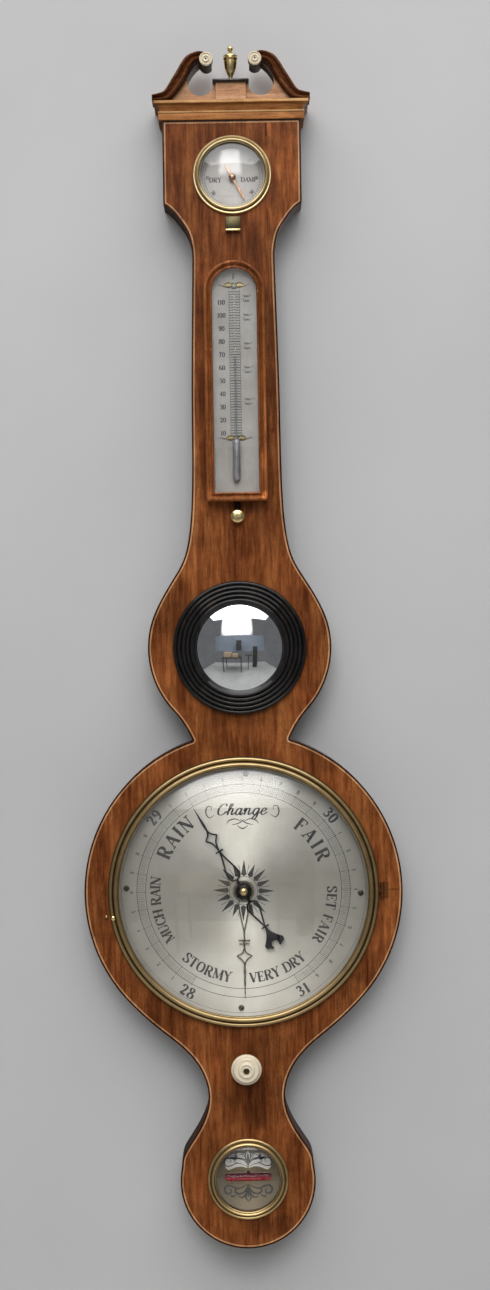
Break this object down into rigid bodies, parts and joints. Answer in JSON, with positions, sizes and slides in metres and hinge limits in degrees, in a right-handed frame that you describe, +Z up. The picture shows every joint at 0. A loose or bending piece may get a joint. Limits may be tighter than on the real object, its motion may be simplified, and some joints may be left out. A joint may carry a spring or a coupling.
{
  "type": "wheel barometer",
  "caption": "Banjo-shaped wall barometer: arched head with hygrometer, boxed thermometer, convex mirror, large hinged dial with two hands and set knob, and spirit level.",
  "frame": {"origin": "centre of the hanging hole, in the plane of the wall behind the case", "axes": "+Z up, +Y into the wall, +X to the right seen from the front; the dial faces -Y"},
  "size_m": [0.2546, 0.0485, 0.9647],
  "materials": {
    "mahogany": "polished shellac over red-brown mahogany",
    "mahogany_veneer": "polished figured mahogany veneer",
    "oak_back": "oiled plain wood",
    "boxwood": "polished boxwood stringing",
    "dark_moulding": "dark stained moulding with worn edges",
    "ebonised": "ebonised and polished",
    "brass": "lacquered, tarnished in the grooves",
    "brass_bright": "bright brass",
    "gilt_copper": "gilt, coppery",
    "silvered": "silvered and engraved, waxed black letters",
    "steel_blued": "blued",
    "steel": "plain steel",
    "black_boss": "blackened",
    "bone": "turned bone, polished and yellowed",
    "glass_clear": "clear old glass",
    "mirror_silver": "convex silvered mirror glass",
    "mercury": "mercury",
    "thermo_fluid": "dark fluid column",
    "red_spirit": "red spirit",
    "cork": "cork",
    "silk": "silk thread"
  },
  "bodies": {
    "case": {"case_body": "mahogany", "front_veneer": "mahogany_veneer", "stringing": "boxwood", "cornice_moulding": "mahogany", "pediment_panel": "mahogany", "swan_necks": "mahogany", "rosettes": "bone", "plinth_cap": "dark_moulding", "finial": "brass", "hanging_plate": "brass", "back_screws": "steel", "hinge_leaves": "brass", "hinge_pins": "steel", "dial_plate": "silvered", "dial_screws": "steel", "bezel_catch_pin": "brass", "bridge": "brass", "drive_cord": "silk", "siphon_tube": "glass_clear", "mercury_column": "mercury", "short_limb_mercury": "mercury", "tube_saddles": "cork", "hygrometer_bezel": "brass", "hygrometer_glass": "glass_clear", "hygrometer_plate": "silvered", "thermometer_box": "mahogany", "thermometer_arch_rail": "mahogany", "thermometer_rails": "mahogany", "thermometer_pane": "glass_clear", "thermometer_scale": "silvered", "thermometer_tube": "glass_clear", "thermometer_mercury": "thermo_fluid", "leaf_clips": "brass_bright", "mirror_frame": "ebonised", "mirror_glass": "mirror_silver", "level_bezel": "brass", "level_glass": "glass_clear", "level_plate": "silvered", "level_vial": "glass_clear", "level_spirit": "red_spirit"},
    "bezel": {"dial_bezel": "brass", "dial_glass": "glass_clear", "bezel_hinge_strap": "brass"},
    "indicator": {"indicator_hand": "steel_blued", "hand_boss": "black_boss", "arbor": "steel"},
    "set_pointer": {"set_hand": "brass_bright", "set_hand_pulley": "brass"},
    "knob": {"set_knob": "bone", "knob_spindle": "brass"},
    "float": {"float_weight": "glass_clear", "float_thread": "silk"},
    "counterweight": {"counterweight": "glass_clear", "counterweight_thread": "silk"},
    "hygrometer_pointer": {"hygrometer_hand": "gilt_copper"},
    "hygrometer_latch": {"hygrometer_catch": "brass"},
    "thermometer_latch": {"thermometer_knob": "brass"},
    "door": {"back_door": "oak_back", "door_hinge_straps": "brass"},
    "door_latch": {"door_button": "brass"}
  },
  "joints": [
    {"name": "bezel_hinge", "type": "hinge", "parent": "case", "child": "bezel", "pos_m": [0.1108, -0.034, -0.606], "axis": [0, 0, 1], "range_deg": [0, 105]},
    {"name": "indicator_turn", "type": "hinge", "parent": "case", "child": "indicator", "pos_m": [0, -0.0282, -0.606], "axis": [0, 1, 0], "range_deg": [-119.6, 180.4]},
    {"name": "float_slide", "type": "slide", "parent": "case", "child": "float", "axis": [0, 0, -1], "range_m": [-0.0153, 0.023], "deforming": ["float_thread", "short_limb_mercury"]},
    {"name": "counterweight_slide", "type": "slide", "parent": "case", "child": "counterweight", "axis": [0, 0, 1], "range_m": [-0.0153, 0.023], "deforming": ["counterweight_thread"]},
    {"name": "set_knob_turn", "type": "hinge", "parent": "case", "child": "knob", "pos_m": [0, -0.038, -0.7475], "axis": [0, 1, 0], "continuous": true},
    {"name": "set_hand_turn", "type": "hinge", "parent": "case", "child": "set_pointer", "pos_m": [0, -0.0263, -0.606], "axis": [0, 1, 0], "continuous": true},
    {"name": "hygrometer_turn", "type": "hinge", "parent": "case", "child": "hygrometer_pointer", "pos_m": [0, -0.0248, -0.0326], "axis": [0, 1, 0], "range_deg": [-130, 130]},
    {"name": "hygrometer_catch_slide", "type": "slide", "parent": "case", "child": "hygrometer_latch", "axis": [0, 0, -1], "range_m": [0, 0.004]},
    {"name": "thermometer_knob_turn", "type": "hinge", "parent": "case", "child": "thermometer_latch", "pos_m": [0, -0.033, -0.3057], "axis": [0, 1, 0], "range_deg": [0, 90]},
    {"name": "door_hinge", "type": "hinge", "parent": "case", "child": "door", "pos_m": [-0.026, -0.0013, -0.606], "axis": [0, 0, 1], "range_deg": [0, 110]},
    {"name": "door_button_turn", "type": "hinge", "parent": "case", "child": "door_latch", "pos_m": [0.033, -0.0014, -0.566], "axis": [0, 1, 0], "range_deg": [0, 90]}
  ],
  "couplings": [
    {"joint": "float_slide", "follows": "indicator_turn", "m_per_rad": 0.00728},
    {"joint": "counterweight_slide", "follows": "indicator_turn", "m_per_rad": 0.00728},
    {"joint": "set_hand_turn", "follows": "set_knob_turn", "ratio": 0.6}
  ]
}
